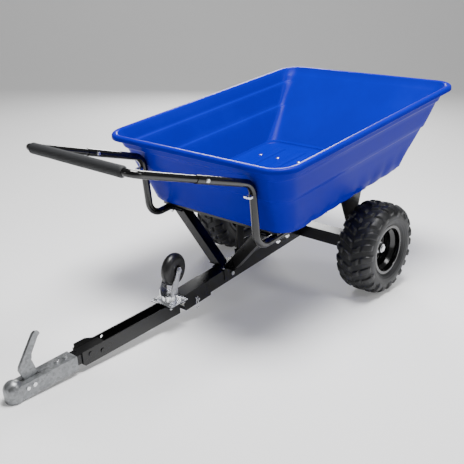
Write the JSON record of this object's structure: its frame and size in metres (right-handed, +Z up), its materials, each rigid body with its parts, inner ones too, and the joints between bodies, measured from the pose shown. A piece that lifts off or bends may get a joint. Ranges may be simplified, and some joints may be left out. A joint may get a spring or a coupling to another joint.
{
  "type": "tow behind cart",
  "caption": "Two-wheeled tow-behind garden cart with a tipping plastic tub, a push handle, a drawbar that rolls to bring a swivel caster down, and a ball coupler.",
  "frame": {"origin": "bottom centre of the bounding box, on the ground that the wheels and the coupler's lip stand on", "axes": "+X forward towards the coupler, +Y to the cart's left, +Z up"},
  "size_m": [2.1886, 1.024, 0.8807],
  "materials": {
    "blue_poly": "satin",
    "black_paint": "satin",
    "gloss_black": "gloss",
    "zinc": "bright zinc",
    "galvanised": "dull",
    "tyre": "matte",
    "rubber": "matte",
    "foam": "matte foam",
    "nylon": "matte",
    "wheel_plastic": "satin"
  },
  "bodies": {
    "chassis": {"axle_beam": "black_paint", "drawbar_beam": "black_paint", "drawbar_nose": "black_paint", "nose_bushes": "nylon", "strut_saddle": "black_paint", "strut_left": "black_paint", "strut_right": "black_paint", "saddle_bolt": "zinc", "rest_pads": "rubber", "pivot_lugs": "black_paint", "spindles": "zinc", "spindle_washers": "zinc", "spindle_nuts": "zinc", "latch_bracket": "black_paint", "latch_pivot": "zinc", "hitch_pin": "zinc"},
    "wheel_left": {"tyre_left": "tyre", "rim_left": "gloss_black", "hub_left": "gloss_black", "bearings_left": "zinc", "valve_left": "rubber"},
    "wheel_right": {"tyre_right": "tyre", "rim_right": "gloss_black", "hub_right": "gloss_black", "bearings_right": "zinc", "valve_right": "rubber"},
    "tub_frame": {"tub": "blue_poly", "frame_tube_left": "gloss_black", "frame_tube_right": "gloss_black", "bearer_front": "black_paint", "bearer_middle": "black_paint", "bearer_rear": "black_paint", "pivot_bracket_left": "black_paint", "pivot_bracket_right": "black_paint", "pivot_pins": "zinc", "floor_bolts": "zinc", "frame_bolts": "zinc", "handle_bar": "gloss_black", "foam_grip": "foam", "joint_bolts": "zinc", "wing_bolts": "zinc", "latch_striker": "black_paint"},
    "dump_latch": {"latch_hook": "black_paint"},
    "tongue": {"tongue_channel": "black_paint", "tongue_spigot": "zinc", "caster_mount": "black_paint", "coupler_insert": "black_paint", "coupler_body": "galvanised", "coupler_bolts": "zinc", "tongue_bolts": "black_paint", "lever_pivot": "zinc", "caster_plate": "zinc", "caster_bolts": "zinc"},
    "pin_clip": {"r_clip": "zinc"},
    "caster": {"caster_fork": "zinc", "caster_axle": "zinc"},
    "caster_wheel": {"caster_tyre": "rubber", "caster_hub": "wheel_plastic"},
    "release_lever": {"coupler_lever": "galvanised"},
    "socket_latch": {"coupler_latch": "galvanised"}
  },
  "joints": [
    {"name": "wheel_left_spin", "type": "hinge", "parent": "chassis", "child": "wheel_left", "pos_m": [-0.53771, 0.423, 0.205], "axis": [0, 1, 0], "continuous": true},
    {"name": "wheel_right_spin", "type": "hinge", "parent": "chassis", "child": "wheel_right", "pos_m": [-0.53771, -0.423, 0.205], "axis": [0, 1, 0], "continuous": true},
    {"name": "tub_dump", "type": "hinge", "parent": "chassis", "child": "tub_frame", "pos_m": [-0.53111, 0, 0.25658], "axis": [0, -1, 0], "range_deg": [0, 50]},
    {"name": "latch_swing", "type": "hinge", "parent": "chassis", "child": "dump_latch", "pos_m": [-0.10446, 0, 0.20303], "axis": [0, -1, 0], "range_deg": [-6.5, 14], "stiffness_Nm_per_rad": 2},
    {"name": "tongue_roll", "type": "hinge", "parent": "chassis", "child": "tongue", "pos_m": [0.27727, 0, 0.09773], "axis": [0.9919, 0, -0.1268], "range_deg": [0, 180]},
    {"name": "clip_pull", "type": "slide", "parent": "chassis", "child": "pin_clip", "axis": [-0.1268, 0, -0.9919], "range_m": [0, 0.03]},
    {"name": "caster_swivel", "type": "hinge", "parent": "tongue", "child": "caster", "pos_m": [0.33188, 0, 0.11509], "axis": [0.0678, 0, 0.9977], "continuous": true},
    {"name": "caster_spin", "type": "hinge", "parent": "caster", "child": "caster_wheel", "pos_m": [0.29874, -0.00729, 0.23761], "axis": [-0.1732, 0.9848, 0.0118], "continuous": true},
    {"name": "lever_lift", "type": "hinge", "parent": "tongue", "child": "release_lever", "pos_m": [0.99475, 0, 0.0465], "axis": [0, 1, 0], "range_deg": [0, 20]},
    {"name": "latch_release", "type": "hinge", "parent": "tongue", "child": "socket_latch", "pos_m": [1.02056, 0, 0.04274], "axis": [0, 1, 0], "range_deg": [0, 16.2]}
  ],
  "couplings": [
    {"joint": "latch_release", "follows": "lever_lift", "ratio": 0.8}
  ]
}
